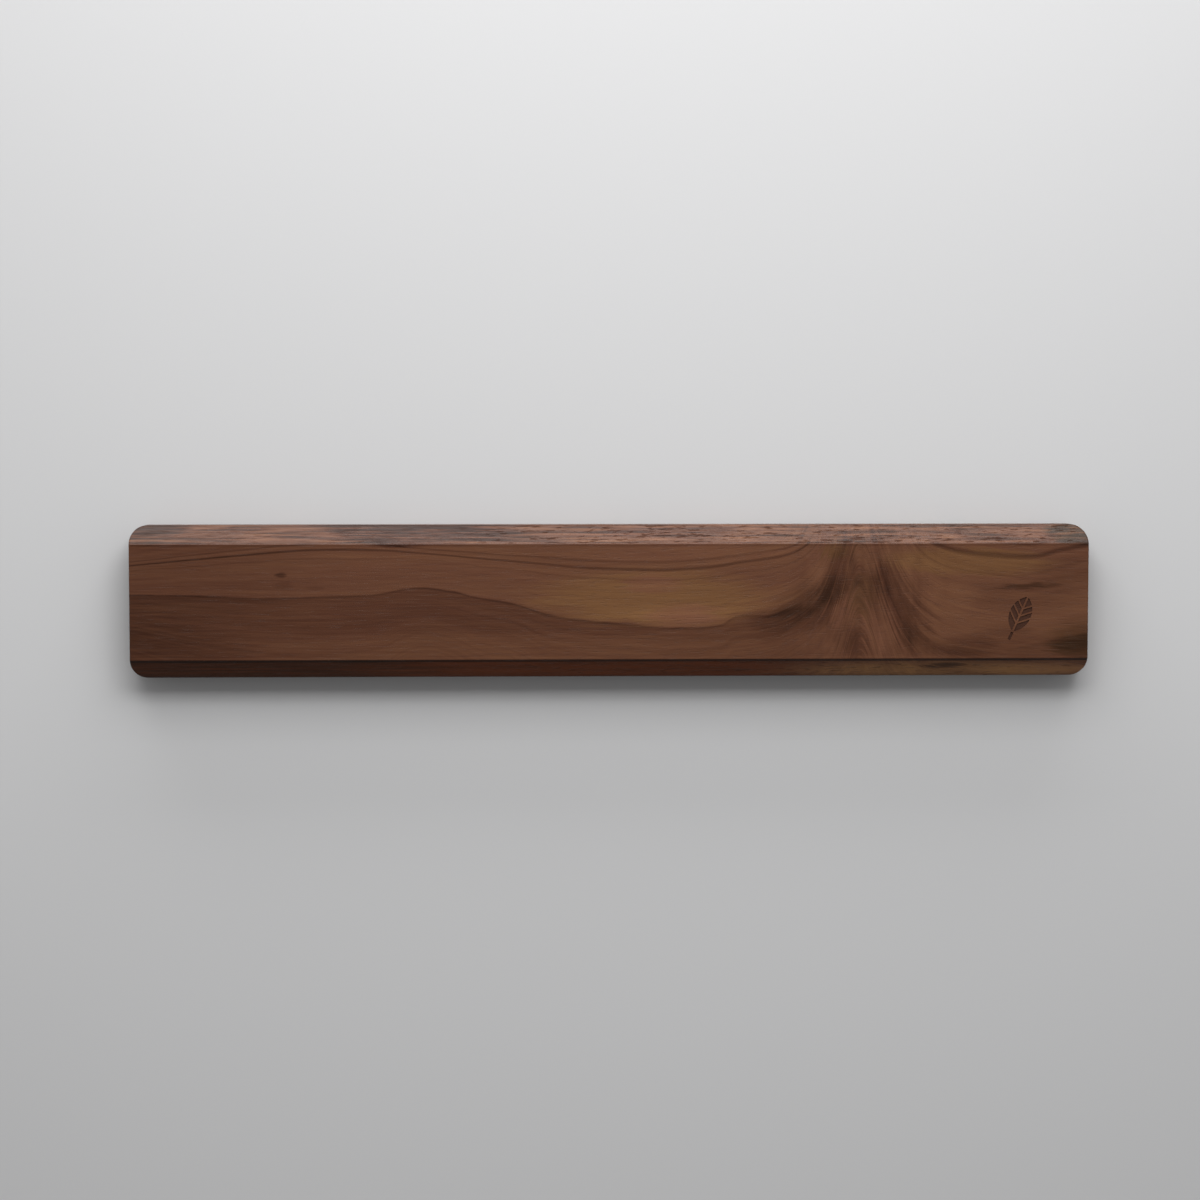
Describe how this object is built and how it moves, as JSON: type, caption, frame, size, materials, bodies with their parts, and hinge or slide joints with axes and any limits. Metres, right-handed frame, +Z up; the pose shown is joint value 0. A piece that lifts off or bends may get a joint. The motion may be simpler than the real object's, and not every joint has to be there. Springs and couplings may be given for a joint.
{
  "type": "keyboard wrist rest",
  "caption": "Long low walnut board with chamfered front and rear top edges and rounded corners, standing on rubber feet, that supports the wrists in front of a keyboard.",
  "frame": {"origin": "on the desk, under the middle of the board", "axes": "+X along the board to the user's right, +Y away from the user to the keyboard, +Z up"},
  "size_m": [0.44, 0.07, 0.02],
  "materials": {
    "walnut": "satin",
    "rubber": "matte",
    "foam_tape": "matte"
  },
  "bodies": {
    "root": {"walnut_bar": "walnut", "foot_front_left": "rubber", "foot_front_mid": "rubber", "foot_front_right": "rubber", "foot_rear_left": "rubber", "foot_rear_mid": "rubber", "foot_rear_right": "rubber", "foot_tape_front_left": "foam_tape", "foot_tape_front_mid": "foam_tape", "foot_tape_front_right": "foam_tape", "foot_tape_rear_left": "foam_tape", "foot_tape_rear_mid": "foam_tape", "foot_tape_rear_right": "foam_tape"}
  },
  "joints": []
}
